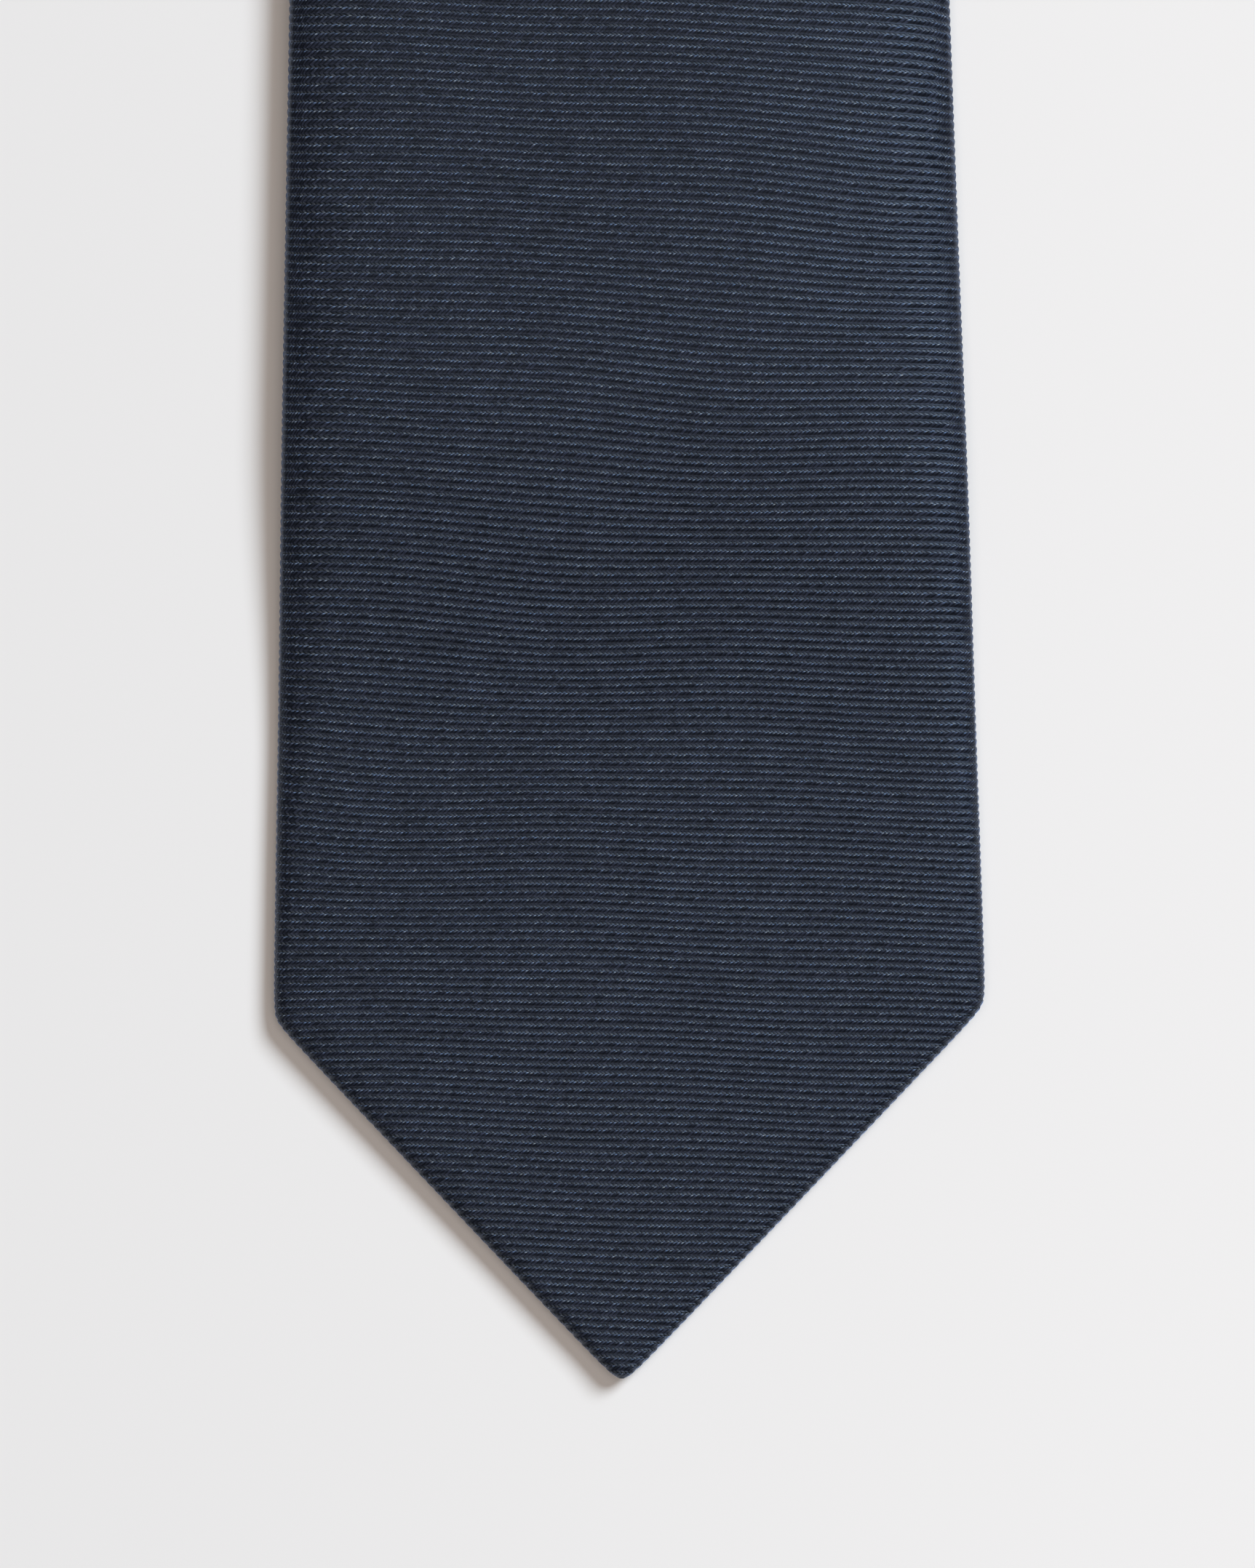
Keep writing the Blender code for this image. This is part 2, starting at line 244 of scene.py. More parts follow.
def opening(reach, hem, corner, closes):
    """Half the opening between the back flaps at a reach from a tip."""
    widest = TIP_SPREAD * (corner - hem)
    growing = np.maximum(0.0, TIP_SPREAD * (reach - hem))
    closing = widest * np.clip((closes - reach) / (closes - corner), 0.0, 1.0)
    return SLIT_HALF + np.where(reach < corner, growing, closing)


def slit(s):
    """Half the gap between the two back flaps: drawn in at each stitch, shut at the tips."""
    blade = opening(s, FRONT_HEM, BLADE_CORNER, FRONT_OPEN)
    tail = opening(TIE_LENGTH - s, TAIL_HEM, TAIL_CORNER, TAIL_OPEN)
    gap = np.where(s < FRONT_OPEN, blade, tail)
    hem = np.where(s < FRONT_OPEN, FRONT_HEM, TAIL_HEM)
    drawn = STITCH_PULL * (1 + np.sin(2 * pi * s / STITCH_PITCH)) / 2
    reach = np.minimum(s, TIE_LENGTH - s)
    mitred = SLIT_HALF * (1 - smooth(hem - MITRE_OPENS, hem, reach))
    return np.maximum(gap - np.maximum(drawn, mitred), LEAST_SLIT)


def tip_height(s):
    """Half the thickness at s: it rounds off to nothing at the two tips."""
    reach = np.maximum(np.minimum(s, TIE_LENGTH - s), LEAST_REACH)
    blunt = np.clip(reach / HALF_THICK, 0.0, 1.0)
    full = HALF_THICK - TIP_PRESSED * (1 - smooth(*PRESSED_UNTIL, reach))
    return full * np.sqrt(1 - (1 - blunt) ** 2)


def shoulder(s):
    """How far in from its edge the face starts to fall away: softer away from the tips."""
    soft = smooth(*SOFT_EDGE_RISES, s) * (1 - smooth(*SOFT_EDGE_FALLS, s))
    wide = SOFT_EDGE_NECK + SOFT_EDGE_MORE * smooth(NECK_HALF, BLADE_HALF, half_width(s))
    return wide * soft


def edge_slant(s):
    """How much wider than deep the rolled edge is where it runs aslant, along the tips."""
    reach = np.minimum(s, TIE_LENGTH - s)
    corner = np.where(s < FOLD_START, BLADE_CORNER, TAIL_CORNER)
    on_tip = 1 - smooth(corner - CORNER_EASE, corner + CORNER_EASE, reach)
    return 1 + (sqrt(1 + TIP_SPREAD**2) - 1) * on_tip


def blade_level(s):
    """Height of the middle of the blade's thickness."""
    return HALF_THICK + LIFT * smooth(*LIFT_RISES, s) * (1 - smooth(*LIFT_FALLS, s))


def droop(u, s):
    """How far the lifted blade sags along its right edge."""
    lifted = smooth(*DROOP_RISES, s) * (1 - smooth(*LIFT_FALLS, s))
    out = np.clip((u - DROOP_INSIDE) / (half_width(s) - DROOP_INSIDE), 0.0, 1.1)
    return DROOP * lifted * out**2


def tail_level(back):
    """Height of the middle of the tail's thickness, at a distance back from the fold."""
    top = HALF_THICK + 2 * FOLD_RADIUS
    landing = 2 * FOLD_RADIUS - BRIDGE_DROP
    return (
        top
        - BRIDGE_DROP * smooth(0, BRIDGE_END, back)
        - landing * smooth(LANDING_START, LANDING_END, back)
    )


# The hinge of the neck fold is at the middle of the bend, over the line where the bend
# starts, so it says where the tie lies in the CAD frame.
NECK_HINGE = Vector(next(j for j in frame["joints"] if j["name"] == "neck_fold")["pos_m"])
ACROSS_FOLD = Vector((-sin(FOLD_SKEW), cos(FOLD_SKEW), 0.0))
ALONG_FOLD = Vector((cos(FOLD_SKEW), sin(FOLD_SKEW), 0.0))
FOLD_LINE = Vector((NECK_HINGE.x, NECK_HINGE.y, 0.0))


def lay(u, s, n):
    """The places of points of the cloth once the tie is folded and laid down."""
    u, s, n = np.broadcast_arrays(u, s, n)
    u = u - TIP_LEAN * np.maximum(0.0, 1 - s / BLADE_CORNER)
    along = u * cos(FOLD_SKEW) + (s - FOLD_START) * sin(FOLD_SKEW)
    past = (s - FOLD_START) * cos(FOLD_SKEW) - u * sin(FOLD_SKEW)
    turn = np.clip(past / FOLD_RADIUS, 0.0, pi)
    on_bend = (past > 0) & (past < FOLD_LENGTH)
    on_tail = past >= FOLD_LENGTH
    across = np.where(on_bend, (FOLD_RADIUS - n) * np.sin(turn), past)
    across = np.where(on_tail, FOLD_LENGTH - past, across)
    bend_z = HALF_THICK + FOLD_RADIUS - (FOLD_RADIUS - n) * np.cos(turn)
    z = np.where(on_bend, bend_z, blade_level(s) - droop(u, s) + n)
    z = np.where(on_tail, tail_level(past - FOLD_LENGTH) - n, z)
    return np.stack(
        [
            FOLD_LINE.x + along * ALONG_FOLD.x + across * ACROSS_FOLD.x,
            FOLD_LINE.y + along * ALONG_FOLD.y + across * ACROSS_FOLD.y,
            z,
        ],
        axis=-1,
    )


def face_swell(u, s):
    """How far the blade's face stands above the flat: a crown, and a few lazy waves."""
    half = half_width(s)
    across = np.clip(u / half, -1, 1)
    size = (half / BLADE_HALF) ** 2 * (1 - smooth(560 * MM, 720 * MM, s))
    crown = (0.25 + 0.75 * smooth(30 * MM, 150 * MM, s)) * MM
    rise = smooth(55 * MM, 140 * MM, s)
    slow = wave(0.17 * MM, u, s, 47 * MM, 260 * MM, 2.3)
    quick = wave(0.07 * MM, u, s, 26 * MM, -170 * MM, 0.7)
    return size * (1 - across**2) * (crown + rise * (slow + quick))


def back_swell(u, s):
    """How far the tail's back stands up: fuller along the seam, with a few lazy waves."""
    half = half_width(s)
    across = np.clip(u / half, -1, 1)
    size = smooth(775 * MM, 840 * MM, s)
    swell = 0.35 * MM + wave(0.12 * MM, across, s, 2.5, 73 * MM)
    return size * (1 - across**2) * swell


# ---------------------------------------------------------------- the outer cloth
def section_point(kind, value, s, side=1):
    """One point of the wrapped section at s: u, n, its normal, and its way from the middle."""
    height = tip_height(s)
    reach = np.minimum(s, TIE_LENGTH - s)
    sunk = (HALF_THICK - height) * smooth(0, TIP_LIES_UNTIL, reach)
    half = half_width(s, side)
    roll = np.minimum(height * edge_slant(s), 0.8 * half)
    soft = np.minimum(roll + shoulder(s), 0.8 * half)
    gap = np.minimum(slit(s), 0.3 * half)
    turn = np.minimum(TURN, 0.3 * height)
    zero = np.zeros_like(half)
    flat = half - soft
    over = (pi / 2) * np.sqrt((soft**2 + height**2) / 2)
    if kind == "face":
        return flat * value, height - sunk, zero, zero + 1, flat * value
    if kind == "roll":
        wide = soft if value >= 0 else roll
        out_u = height * cos(value)
        out_n = wide * sin(value)
        size = np.hypot(out_u, out_n)
        way = flat + over * (1 - value / (pi / 2)) if value >= 0 else flat + over - roll * value
        u = half - wide + wide * cos(value)
        return u, height * sin(value) - sunk, out_u / size, out_n / size, way
    low = -height - sunk
    flat = half - roll
    around = half - soft + over + roll * pi / 2
    rest = np.maximum(flat - gap - turn, 0.0)
    edge = np.minimum(gap + turn, flat)
    if kind == "flap":
        u = flat + (edge - flat) * value
        return u, low, zero, zero - 1, around + rest * value
    if kind == "turn" and value == 0.0:
        return edge - turn, low + turn, zero, zero, around + rest + turn
    if kind == "turn":
        return edge, low + 2 * turn, zero, zero, around + rest + 2 * turn
    inward = np.minimum(TURNED_IN, 0.6 * rest)
    return edge + inward, low + 2 * turn, zero, zero, around + rest + 2 * turn + inward


def rib_round(line):
    """The round of a rib, 0 in the groove and 1 along its crest, from a line in ribs.

    The crest lies past the middle: the rib rises slowly under the navy strokes and drops
    quickly under the olive ones.
    """
    return np.sin(pi * (line % 1.0) ** RIB_LEAN) ** 0.75


def rib_drift(way, s):
    """How far the ribs of the blade have slipped towards the tip: more along one slant."""
    on_blade = 1 - smooth(160 * MM, 220 * MM, s)
    off = (way - RIB_SWAY_AT[0] - RIB_SWAY_LEAN * (s - RIB_SWAY_AT[1])) / RIB_SWAY_WIDTH
    bulge = RIB_SWAY * np.exp(-(off**2) / 2) * on_blade
    quiver = wave(0.10 * MM, way, s, 31 * MM, 57 * MM)
    past = s - RIB_EASE_FROM
    spread = RIB_EASE / 2 * (past + np.sqrt(past**2 + RIB_EASE_WIDTH**2))
    return bulge + quiver - spread


def cloth_lines(low, high, fine_until, coarse_lines):
    """Lines along the ribs from low to high, counted in ribs, closer up to fine_until."""
    first = low / RIB_PITCH
    last = high / RIB_PITCH
    change = int(max(fine_until, low) / RIB_PITCH)
    fine = [k / FINE_LINES for k in range(int(first * FINE_LINES) + 1, change * FINE_LINES)]
    start = change * coarse_lines if fine else int(first * coarse_lines) + 1
    coarse = [k / coarse_lines for k in range(start, int(last * coarse_lines) + 1)]
    return np.array([first] + fine + coarse + [last])


def seam_dip(u, s):
    """How far the cloth dips into a bias seam nearby."""
    dip = 0.0
    for seam in (FRONT_SEAM, REAR_SEAM):
        away = (s - u - seam) / (sqrt(2) * SEAM_DIP_WIDTH)
        dip = dip + SEAM_DIP * np.exp(-(away**2))
    return dip


def wrapped_column(step, lines, side, slope, drift):
    """One column of the wrapped cloth: u, s, n and the way round, at each line."""
    kind, value = step
    s = lines * RIB_PITCH
    for _ in range(PLACING_ROUNDS):
        way = side * section_point(kind, value, s, side)[4]
        s = lines * RIB_PITCH - slope * way - drift(way, s)
        s = np.clip(s, LEAST_REACH, TIE_LENGTH - LEAST_REACH)
    u, n, out_u, out_n, way = section_point(kind, value, s, side)
    thin = np.clip(tip_height(s) / HALF_THICK, 0.05, 1.0)
    sink = RIB_HEIGHT * thin * (rib_round(lines) - 1) - seam_dip(side * u, s)
    up = np.clip(out_n, 0, 1) * face_swell(u * side, s)
    facing_down = 1.0 if kind in ("turn", "inner") else np.clip(-out_n, 0, 1)
    down = facing_down * back_swell(u * side, s)
    return side * (u + out_u * sink), s, n + out_n * sink + up - down, side * way


def wrapped_cloth(name, low, high, slope, fine_until=0.0, coarse_lines=3):
    """A length of the outer cloth, wrapped round to the back with its edges turned in.

    Its rows follow the ribs and its columns go round the section. Returns the object with
    its points still as (u, s, n).
    """

    def drift(way, s):
        return rib_drift(way, s) if fine_until > 0 else 0.0

    first = low + float(drift(0.0, np.array(low)))
    last = high + float(drift(0.0, np.array(high)))
    change = fine_until + float(drift(0.0, np.array(fine_until)))
    lines = cloth_lines(first, last, change, coarse_lines)
    left = [wrapped_column(step, lines, -1, slope, drift) for step in SECTION[:0:-1]]
    right = [wrapped_column(step, lines, 1, slope, drift) for step in SECTION]
    u, s, n, way = np.array(left + right).transpose(1, 2, 0)
    along = np.zeros_like(way) + (lines * RIB_PITCH)[:, None]
    return grid_object(name, np.stack([u, s, n], axis=-1), np.stack([way, along], axis=-1))


def grid_object(name, points, grain):
    """A mesh object from rows of points, with its grain as its UV map."""
    rows, across, _ = points.shape
    corner = np.arange(rows * across).reshape(rows, across)
    low = [corner[:-1, :-1], corner[:-1, 1:]]
    high = [corner[1:, 1:], corner[1:, :-1]]
    quads = np.stack(low + high, axis=-1).reshape(-1, 4)
    mesh = bpy.data.meshes.new(name)
    mesh.vertices.add(rows * across)
    mesh.vertices.foreach_set("co", points.astype(np.float32).ravel())
    mesh.loops.add(quads.size)
    mesh.loops.foreach_set("vertex_index", quads.ravel().astype(np.int32))
    mesh.polygons.add(len(quads))
    mesh.polygons.foreach_set("loop_start", np.arange(0, quads.size, 4, dtype=np.int32))
    mesh.update(calc_edges=True)
    layer = mesh.uv_layers.new(name="grain")
    at_corners = grain.reshape(-1, 2)[quads.ravel()]
    layer.data.foreach_set("uv", at_corners.astype(np.float32).ravel())
    mesh.shade_smooth()
    piece = bpy.data.objects.new(name, mesh)
    bpy.context.scene.collection.objects.link(piece)
    return piece


ON_BIAS = Vector((-1.0, 1.0, 0.0)).normalized()
ON_FOLD = Vector((-sin(FOLD_SKEW), cos(FOLD_SKEW), 0.0))


def cut(piece, place, way, keep_low):
    """Cuts a length of cloth, still in (u, s, n), along a bias seam or a fold line."""
    work = bmesh.new()
    work.from_mesh(piece.data)
    bmesh.ops.bisect_plane(
        work,
        geom=work.verts[:] + work.edges[:] + work.faces[:],
        dist=1e-7,
        plane_co=(0.0, place, 0.0),
        plane_no=way,
        clear_outer=keep_low,
        clear_inner=not keep_low,
    )
    work.to_mesh(piece.data)
    work.free()
    piece.data.shade_smooth()


def lay_down(piece):
    """Takes a mesh from (u, s, n) to its place on the table."""
    mesh = piece.data
    flat = np.zeros(len(mesh.vertices) * 3, np.float32)
    mesh.vertices.foreach_get("co", flat)
    u, s, n = flat.reshape(-1, 3).astype(float).T
    mesh.vertices.foreach_set("co", lay(u, s, n).astype(np.float32).ravel())
    mesh.update()


def flat_cloth(name, low, high, steps, height, half):
    """A flat piece of cloth in (u, s, n) from low to high, half or half(s) to each side."""
    across, along = steps
    s = np.linspace(low, high, along)[:, None] + np.zeros((1, across))
    t = np.linspace(-1, 1, across)[None, :] + np.zeros((along, 1))
    u = t * (half(s) if callable(half) else half)
    points = np.stack([u, s, height(u, s)], axis=-1)
    return grid_object(name, points, np.stack([u, s], axis=-1))


def thicken(piece, thickness, round_edges=True):
    """Gives a flat piece its thickness as real geometry, with its rim softened."""
    solid = piece.modifiers.new("thickness", "SOLIDIFY")
    solid.thickness = thickness
    solid.offset = 0.0
    if round_edges:
        soft = piece.modifiers.new("rim", "BEVEL")
        soft.width = thickness * 0.35
        soft.segments = 2
        soft.limit_method = "ANGLE"
        soft.angle_limit = radians(50)
    make_real(piece)


def make_real(piece):
    """Applies a piece's modifiers to its mesh."""
    graph = bpy.context.evaluated_depsgraph_get()
    made = bpy.data.meshes.new_from_object(piece.evaluated_get(graph))
    piece.modifiers.clear()
    piece.data = made
    piece.data.name = piece.name
    piece.data.shade_smooth()


def tube(name, places, radius):
    """A round thread through places in the CAD frame, as a mesh."""
    curve = bpy.data.curves.new(name, "CURVE")
    curve.dimensions = "3D"
    curve.bevel_depth = radius
    curve.bevel_resolution = 2
    curve.use_fill_caps = True
    spline = curve.splines.new("POLY")
    spline.points.add(len(places) - 1)
    flat = np.concatenate([places, np.ones((len(places), 1))], axis=1)
    spline.points.foreach_set("co", flat.astype(np.float32).ravel())
    holder = bpy.data.objects.new(name + "_line", curve)
    bpy.context.scene.collection.objects.link(holder)
    graph = bpy.context.evaluated_depsgraph_get()
    mesh = bpy.data.meshes.new_from_object(holder.evaluated_get(graph))
    bpy.data.objects.remove(holder, do_unlink=True)
    mesh.name = name
    mesh.shade_smooth()
    piece = bpy.data.objects.new(name, mesh)
    bpy.context.scene.collection.objects.link(piece)
    return piece


# ---------------------------------------------------------------- materials
class Surface:
    """A Principled material and short ways to wire maths into it."""

    def __init__(self, name, roughness, specular=0.5):
        self.material = bpy.data.materials.new(name)
        self.material.use_nodes = True
        self.tree = self.material.node_tree
        self.shader = self.tree.nodes["Principled BSDF"]
        self.shader.inputs["Roughness"].default_value = roughness
        self.shader.inputs["Specular IOR Level"].default_value = specular

    def node(self, kind, **settings):
        made = self.tree.nodes.new(kind)
        for key, value in settings.items():
            setattr(made, key, value)
        return made

    def wire(self, source, socket):
        if hasattr(source, "is_output"):
            self.tree.links.new(source, socket)
        else:
            socket.default_value = source

    def calc(self, operation, *values):
        made = self.node("ShaderNodeMath", operation=operation)
        for value, socket in zip(values, made.inputs):
            self.wire(value, socket)
        return made.outputs[0]

    def span(self, value, low, high, bottom=0.0, top=1.0):
        """value from low to high becomes bottom to top along a smooth S."""
        made = self.node("ShaderNodeMapRange", interpolation_type="SMOOTHSTEP")
        for source, socket in zip((value, low, high, bottom, top), made.inputs):
            self.wire(source, socket)
        return made.outputs[0]

    def grain(self):
        """The cloth's own coordinates, in metres: across, and along over the ribs."""
        split = self.node("ShaderNodeSeparateXYZ")
        self.wire(self.node("ShaderNodeUVMap", uv_map="grain").outputs[0], split.inputs[0])
        return split.outputs[0], split.outputs[1]

    def join(self, x, y, z=0.0):
        made = self.node("ShaderNodeCombineXYZ")
        for value, socket in zip((x, y, z), made.inputs):
            self.wire(value, socket)
        return made.outputs[0]

    def chance(self, x, y):
        """An even random number for each whole x and y."""
        made = self.node("ShaderNodeTexWhiteNoise", noise_dimensions="3D")
        self.wire(self.join(x, y), made.inputs["Vector"])
        return made.outputs["Value"]

    def noise(self, vector, scale, detail=2.0):
        made = self.node("ShaderNodeTexNoise")
        self.wire(vector, made.inputs["Vector"])
        made.inputs["Scale"].default_value = scale
        made.inputs["Detail"].default_value = detail
        return made.outputs["Fac"]

    def blend(self, share, low, high):
        """A colour from low to high by share."""
        made = self.node("ShaderNodeMix", data_type="RGBA")
        self.wire(share, made.inputs["Factor"])
        for colour, socket in ((low, made.inputs["A"]), (high, made.inputs["B"])):
            self.wire((*colour, 1.0) if isinstance(colour, tuple) else colour, socket)
        return made.outputs["Result"]

    def scaled(self, colour, share):
        """A colour made brighter or darker by share."""
        made = self.node("ShaderNodeVectorMath", operation="SCALE")
        self.wire(colour, made.inputs[0])
        self.wire(share, made.inputs["Scale"])
        return made.outputs[0]

    def arch(self, value):
        """0 at each whole value, and 1 half way between."""
        return self.calc("SINE", self.calc("MULTIPLY", self.calc("FRACT", value), pi))

    def ripple(self, value, pitch):
        """A sine wave of value that repeats every pitch."""
        return self.calc("SINE", self.calc("MULTIPLY", value, 2 * pi / pitch))

    def plain_weave(self, wide, long):
        """A plain weave, 0 to 1, its threads wide apart across and long apart along."""
        across, along = self.grain()
        over = self.ripple(across, wide)
        under = self.ripple(along, long)
        return self.calc("MULTIPLY_ADD", self.calc("MULTIPLY", over, under), 0.5, 0.5)

    def colour(self, value):
        self.wire(value, self.shader.inputs["Base Color"])

    def bump(self, height, distance=1.0, strength=1.0):
        made = self.node("ShaderNodeBump")
        made.inputs["Distance"].default_value = distance
        made.inputs["Strength"].default_value = strength
        self.wire(height, made.inputs["Height"])
        self.wire(made.outputs[0], self.shader.inputs["Normal"])


# Places across one rib, from 0 in its groove to 1 in the next.
NAVY_RISES = (0.14, 0.63)
NAVY_TO_OLIVE = (0.57, 0.68)
OLIVE_FROM = 0.62
OLIVE_FALLS = (0.82, 0.99)
PAINTED_GLINTS_AT = 0.58

# How far a stroke slips sideways over one rib, in strokes.
NAVY_LEAN = -2.0
OLIVE_LEAN = 1.6
OLIVE_START = 0.40

CORD_BUMP = 0.03 * MM

# The first colour is painted shade, which the threads fade to in the grooves between ribs.
PAINTED_GROOVE_SHADE = (0.0126, 0.0145, 0.0245)
NAVY = (0.0198, 0.0256, 0.0465)
OLIVE = (0.0208, 0.0230, 0.0272)
# The last two colours are painted highlights: the two hues of the glints painted into the base
# colour.
BLUE_PAINTED_GLINT = (0.132, 0.224, 0.408)
PALE_PAINTED_GLINT = (0.396, 0.450, 0.444)


def corded_silk():
    """A two-colour corded weave: in each rib a row of navy strokes meets an olive one.

    The navy strokes lean one way and fade into painted shade in the groove below. The olive
    ones lean the other way and fade into the same painted shade at the top of the rib, and
    small bright glints, painted into the colour as highlights, lie along the line where the
    two rows meet.
    """
    silk = Surface("corded_silk", roughness=0.46, specular=0.32)
    shine = {
        "Specular Tint": (0.55, 0.72, 1.0, 1.0),
        "Sheen Weight": 0.9,
        "Sheen Roughness": 0.3,
        "Sheen Tint": (0.40, 0.55, 0.90, 1.0),
    }
    for socket, value in shine.items():
        silk.shader.inputs[socket].default_value = value
    across, along = silk.grain()
    place = silk.join(across, along)
    sway = silk.calc("SUBTRACT", silk.noise(place, 420.0), 0.5)
    line = silk.calc("MULTIPLY_ADD", sway, 0.20, silk.calc("DIVIDE", along, RIB_PITCH))
    rib = silk.calc("FLOOR", line)
    within = silk.calc("FRACT", line)
    is_olive = silk.calc("GREATER_THAN", within, OLIVE_FROM)

    # strokes
    unrest = silk.calc("SUBTRACT", silk.noise(place, 900.0), 0.5)
    step = silk.calc("ADD", silk.calc("DIVIDE", across, STROKE_PITCH), silk.chance(rib, 0.0))
    step = silk.calc("MULTIPLY_ADD", unrest, 0.5, step)
    lean = silk.node("ShaderNodeMix", data_type="FLOAT")
    silk.wire(is_olive, lean.inputs["Factor"])
    silk.wire(silk.calc("MULTIPLY", within, NAVY_LEAN), lean.inputs["A"])
    silk.wire(silk.calc("MULTIPLY_ADD", within, OLIVE_LEAN, OLIVE_START), lean.inputs["B"])
    phase = silk.calc("ADD", step, lean.outputs["Result"])
    stroke = silk.arch(phase)
    stroke_number = silk.calc("FLOOR", phase)
    luck = silk.chance(stroke_number, silk.calc("MULTIPLY_ADD", rib, 2.0, is_olive))
    strand = silk.chance(
        silk.calc("FLOOR", silk.calc("MULTIPLY", phase, 5.0)),
        silk.calc("FLOOR", silk.calc("MULTIPLY", line, 7.0)),
    )

    # colour: each thread's colour fades to painted shade in the grooves between ribs; each stroke is
    # lighter in its middle, and strokes and fibres vary at random in brightness
    light = silk.calc("MULTIPLY_ADD", silk.span(stroke, 0.20, 0.85), 1.20, 0.12)
    light = silk.calc("MULTIPLY", light, silk.calc("MULTIPLY_ADD", luck, 0.9, 0.5))
    light = silk.calc("MULTIPLY", light, silk.calc("MULTIPLY_ADD", strand, 0.8, 0.6))
    rise = silk.span(within, *NAVY_RISES)
    fall = silk.span(within, *OLIVE_FALLS)
    # body is the share of thread colour over the painted groove shade; it also shapes the cord's
    # bump below.
    body = silk.calc("SUBTRACT", rise, silk.calc("MULTIPLY", rise, fall))
    thread = silk.blend(silk.span(within, *NAVY_TO_OLIVE), NAVY, OLIVE)
    threads_with_painted_shade = silk.scaled(silk.blend(body, PAINTED_GROOVE_SHADE, thread), light)

    # painted highlights: bright glints painted into the base colour along the line where the navy
    # and olive rows meet, each of random brightness and hue
    off = silk.calc("SUBTRACT", within, PAINTED_GLINTS_AT)
    beside = silk.calc("EXPONENT", silk.calc("MULTIPLY", silk.calc("MULTIPLY", off, off), -90.0))
    painted_glint_luck = silk.chance(stroke_number, silk.calc("ADD", rib, 0.5))
    painted_glint_luck = silk.calc("POWER", painted_glint_luck, 1.8)
    point = silk.calc("POWER", stroke, 4.0)
    painted_glint = silk.calc("MULTIPLY", silk.calc("MULTIPLY", beside, point), painted_glint_luck)
    painted_glint_hue = silk.blend(silk.span(strand, 0.55, 0.95), BLUE_PAINTED_GLINT, PALE_PAINTED_GLINT)
    both = silk.node("ShaderNodeVectorMath", operation="ADD")
    silk.wire(threads_with_painted_shade, both.inputs[0])
    silk.wire(silk.scaled(painted_glint_hue, painted_glint), both.inputs[1])
    silk.colour(both.outputs[0])

    twill = silk.calc("MULTIPLY", silk.calc("ADD", stroke, 1.0), body)
    silk.bump(silk.calc("MULTIPLY", twill, CORD_BUMP))
    roughness = silk.calc("MULTIPLY_ADD", luck, 0.16, 0.36)
    silk.wire(roughness, silk.shader.inputs["Roughness"])
    return silk.material


def satin_lining():
    """A fine dark satin, its long floats running along the tie."""
    satin = Surface("satin_lining", roughness=0.32, specular=0.5)
    across, along = satin.grain()
    float_line = satin.calc("DIVIDE", across, 0.16 * MM)
    offset = satin.calc("MULTIPLY", satin.calc("FLOOR", float_line), 0.4)
    step = satin.calc("ADD", satin.calc("DIVIDE", along, 0.8 * MM), offset)
    tie_down = satin.calc("MULTIPLY_ADD", satin.arch(step), 0.5, 0.5)
    weave = satin.calc("MULTIPLY", satin.arch(float_line), tie_down)
    satin.colour(satin.blend(weave, (0.010, 0.013, 0.024), (0.030, 0.040, 0.072)))
    satin.bump(satin.calc("MULTIPLY", weave, 0.02 * MM))
    return satin.material


def brushed_wool():
    """Off-white brushed interlining: a loose plain weave under a nap of fibres."""
    wool = Surface("brushed_wool", roughness=0.95, specular=0.2)
    across, along = wool.grain()
    over = wool.ripple(across, 1.1 * MM)
    under = wool.ripple(along, 1.1 * MM)
    fuzz = wool.noise(wool.join(across, along), 2600.0, 6.0)
    mix = wool.calc("MULTIPLY_ADD", wool.calc("MULTIPLY", over, under), 0.18, fuzz)
    wool.colour(wool.blend(mix, (0.50, 0.46, 0.39), (0.84, 0.81, 0.74)))
    wool.bump(wool.calc("MULTIPLY", mix, 0.25 * MM))
    return wool.material


def woven_label():
    """A blank damask label: a fine weave with a plain border line woven in."""
    label = Surface("woven_label", roughness=0.5, specular=0.4)
    across, along = label.grain()
    weave = label.plain_weave(0.22 * MM, 0.28 * MM)
    to_side = label.calc("SUBTRACT", LABEL_HALF_SPAN, label.calc("ABSOLUTE", across))
    from_middle = label.calc("ABSOLUTE", label.calc("SUBTRACT", along, LABEL_S))
    to_end = label.calc("SUBTRACT", LABEL_LENGTH / 2, from_middle)
    rim = label.calc("MINIMUM", to_side, to_end)
    line = label.calc("COMPARE", rim, 3.0 * MM, 0.35 * MM)
    ground = label.blend(weave, (0.020, 0.024, 0.036), (0.060, 0.068, 0.090))
    label.colour(label.blend(line, ground, (0.32, 0.33, 0.34)))
    label.bump(label.calc("MULTIPLY", label.calc("ADD", weave, line), 0.03 * MM))
    return label.material


def satin_ribbon():
    """A blank white ribbon with a corded edge on each side."""
    ribbon = Surface("satin_ribbon", roughness=0.38, specular=0.5)
    across = ribbon.grain()[0]
    weave = ribbon.plain_weave(0.2 * MM, 0.35 * MM)
    edge_from = CARE_LABEL_HALF - 1.2 * MM
    edge_to = CARE_LABEL_HALF - 0.8 * MM
    edge = ribbon.span(ribbon.calc("ABSOLUTE", across), edge_from, edge_to)
    ground = ribbon.blend(weave, (0.62, 0.62, 0.60), (0.80, 0.80, 0.78))
    ribbon.colour(ribbon.blend(edge, ground, (0.66, 0.66, 0.64)))
    ribbon.bump(ribbon.calc("MULTIPLY", ribbon.calc("ADD", weave, edge), 0.03 * MM))
    return ribbon.material


